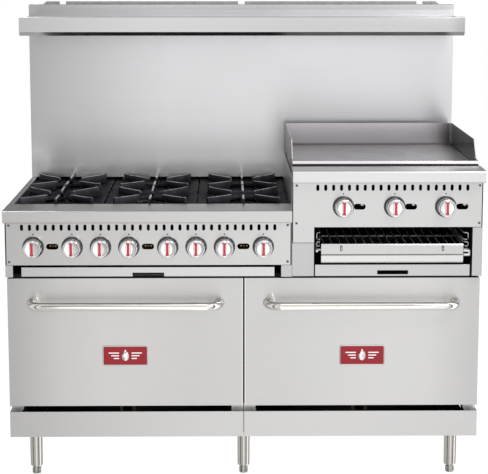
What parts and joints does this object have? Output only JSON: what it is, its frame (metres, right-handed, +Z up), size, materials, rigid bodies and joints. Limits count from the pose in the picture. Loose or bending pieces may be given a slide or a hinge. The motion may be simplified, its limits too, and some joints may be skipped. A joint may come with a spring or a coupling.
{
  "type": "commercial gas range",
  "caption": "Stainless restaurant gas range: open burners with cast grates, raised griddle over a pull-out broiler rack, two drop-door ovens, backguard with high shelf, adjustable legs.",
  "frame": {"origin": "on the floor, centred left to right and front to back of the whole object, the rear gas inlet included", "axes": "+Z up, -Y out of the doors towards the cook, +X to the cook's right, so +Y runs from front to back"},
  "size_m": [1.524, 0.864, 1.545],
  "materials": {
    "brushed_stainless": "fine horizontal brushed grain",
    "bright_metal": "polished, slightly warm",
    "knob_chrome": "polished plating",
    "rack_wire": "plated wire",
    "galvanised_sheet": "dull galvanised",
    "oven_enamel": "speckled porcelain enamel",
    "fibre_blanket": "mineral fibre",
    "burner_steel": "heat-tinted",
    "black_paint": "satin black",
    "dial_black": "gloss black with pale ticks",
    "brass_fittings": "machined",
    "black_pipe": "black iron pipe",
    "cast_aluminium": "as cast",
    "cast_iron_black": "black, slightly rough casting",
    "ground_griddle_steel": "ground plate",
    "broiler_dark": "heat-darkened",
    "burner_ceramic": "unglazed tile",
    "aluminised_liner": "matt aluminised sheet"
  },
  "bodies": {
    "range_body": {"base_frame": "black_paint", "legs": "bright_metal", "leg_feet": "bright_metal", "kick_plates": "brushed_stainless", "left_side_panel": "brushed_stainless", "right_side_panel": "brushed_stainless", "rear_panel": "galvanised_sheet", "oven_front_frame": "brushed_stainless", "oven_liners": "oven_enamel", "oven_insulation": "fibre_blanket", "oven_floor_plates": "oven_enamel", "oven_burners": "burner_steel", "hinge_brackets": "black_paint", "flue_ducts": "galvanised_sheet", "left_control_panel": "brushed_stainless", "right_control_panel": "brushed_stainless", "left_bullnose": "brushed_stainless", "right_bullnose": "brushed_stainless", "dial_bezels": "dial_black", "gas_valves": "brass_fittings", "gas_manifold": "black_pipe", "gas_regulator": "cast_aluminium", "pilot_fittings": "brass_fittings", "cooktop_frame": "black_paint", "top_burners": "cast_iron_black", "grates": "cast_iron_black", "section_partition": "brushed_stainless", "griddle_plate": "ground_griddle_steel", "griddle_splash": "brushed_stainless", "griddle_burners": "burner_steel", "broiler_liner": "broiler_dark", "broiler_posts": "brushed_stainless", "broiler_burner": "burner_ceramic", "backguard_front": "brushed_stainless", "backguard_rear": "brushed_stainless", "high_shelf": "brushed_stainless", "panel_screws": "bright_metal"},
    "left_door": {"left_door_skin": "brushed_stainless", "left_door_liner": "aluminised_liner", "left_door_handle": "bright_metal"},
    "right_door": {"right_door_skin": "brushed_stainless", "right_door_liner": "aluminised_liner", "right_door_handle": "bright_metal"},
    "crumb_tray_body": {"crumb_tray": "brushed_stainless"},
    "drip_tray_body": {"drip_tray": "brushed_stainless"},
    "broiler_rack_body": {"broiler_rack": "rack_wire", "broiler_rack_handle": "brushed_stainless"},
    "left_oven_rack_body": {"left_oven_rack": "rack_wire"},
    "right_oven_rack_body": {"right_oven_rack": "rack_wire"},
    "burner_knob_1_body": {"burner_knob_1": "knob_chrome"},
    "burner_knob_2_body": {"burner_knob_2": "knob_chrome"},
    "oven_knob_left_body": {"oven_knob_left": "knob_chrome"},
    "burner_knob_3_body": {"burner_knob_3": "knob_chrome"},
    "burner_knob_4_body": {"burner_knob_4": "knob_chrome"},
    "oven_knob_right_body": {"oven_knob_right": "knob_chrome"},
    "burner_knob_5_body": {"burner_knob_5": "knob_chrome"},
    "burner_knob_6_body": {"burner_knob_6": "knob_chrome"},
    "griddle_knob_1_body": {"griddle_knob_1": "knob_chrome"},
    "griddle_knob_2_body": {"griddle_knob_2": "knob_chrome"},
    "griddle_knob_3_body": {"griddle_knob_3": "knob_chrome"}
  },
  "joints": [
    {"name": "left_door_hinge", "type": "hinge", "parent": "range_body", "child": "left_door", "pos_m": [-0.382, -0.331, 0.268], "axis": [1, 0, 0], "range_deg": [0, 90]},
    {"name": "right_door_hinge", "type": "hinge", "parent": "range_body", "child": "right_door", "pos_m": [0.382, -0.331, 0.268], "axis": [1, 0, 0], "range_deg": [0, 90]},
    {"name": "crumb_tray_slide", "type": "slide", "parent": "range_body", "child": "crumb_tray_body", "axis": [0, -1, 0], "range_m": [0, 0.6]},
    {"name": "drip_tray_slide", "type": "slide", "parent": "range_body", "child": "drip_tray_body", "axis": [0, -1, 0], "range_m": [0, 0.52]},
    {"name": "broiler_rack_slide", "type": "slide", "parent": "range_body", "child": "broiler_rack_body", "axis": [0, -1, 0], "range_m": [0, 0.42]},
    {"name": "left_oven_rack_slide", "type": "slide", "parent": "range_body", "child": "left_oven_rack_body", "axis": [0, -1, 0], "range_m": [0, 0.04]},
    {"name": "right_oven_rack_slide", "type": "slide", "parent": "range_body", "child": "right_oven_rack_body", "axis": [0, -1, 0], "range_m": [0, 0.04]},
    {"name": "burner_knob_1_turn", "type": "hinge", "parent": "range_body", "child": "burner_knob_1_body", "pos_m": [-0.6716, -0.3855, 0.788], "axis": [0, -1, 0], "range_deg": [0, 90]},
    {"name": "burner_knob_2_turn", "type": "hinge", "parent": "range_body", "child": "burner_knob_2_body", "pos_m": [-0.5476, -0.3855, 0.788], "axis": [0, -1, 0], "range_deg": [0, 90]},
    {"name": "oven_knob_left_turn", "type": "hinge", "parent": "range_body", "child": "oven_knob_left_body", "pos_m": [-0.4572, -0.3855, 0.788], "axis": [0, -1, 0], "range_deg": [0, 270]},
    {"name": "burner_knob_3_turn", "type": "hinge", "parent": "range_body", "child": "burner_knob_3_body", "pos_m": [-0.3668, -0.3855, 0.788], "axis": [0, -1, 0], "range_deg": [0, 90]},
    {"name": "burner_knob_4_turn", "type": "hinge", "parent": "range_body", "child": "burner_knob_4_body", "pos_m": [-0.2428, -0.3855, 0.788], "axis": [0, -1, 0], "range_deg": [0, 90]},
    {"name": "oven_knob_right_turn", "type": "hinge", "parent": "range_body", "child": "oven_knob_right_body", "pos_m": [-0.1524, -0.3855, 0.788], "axis": [0, -1, 0], "range_deg": [0, 270]},
    {"name": "burner_knob_5_turn", "type": "hinge", "parent": "range_body", "child": "burner_knob_5_body", "pos_m": [-0.062, -0.3855, 0.788], "axis": [0, -1, 0], "range_deg": [0, 90]},
    {"name": "burner_knob_6_turn", "type": "hinge", "parent": "range_body", "child": "burner_knob_6_body", "pos_m": [0.062, -0.3855, 0.788], "axis": [0, -1, 0], "range_deg": [0, 90]},
    {"name": "griddle_knob_1_turn", "type": "hinge", "parent": "range_body", "child": "griddle_knob_1_body", "pos_m": [0.317, -0.3855, 0.917], "axis": [0, -1, 0], "range_deg": [0, 90]},
    {"name": "griddle_knob_2_turn", "type": "hinge", "parent": "range_body", "child": "griddle_knob_2_body", "pos_m": [0.48, -0.3855, 0.917], "axis": [0, -1, 0], "range_deg": [0, 90]},
    {"name": "griddle_knob_3_turn", "type": "hinge", "parent": "range_body", "child": "griddle_knob_3_body", "pos_m": [0.643, -0.3855, 0.917], "axis": [0, -1, 0], "range_deg": [0, 90]}
  ]
}
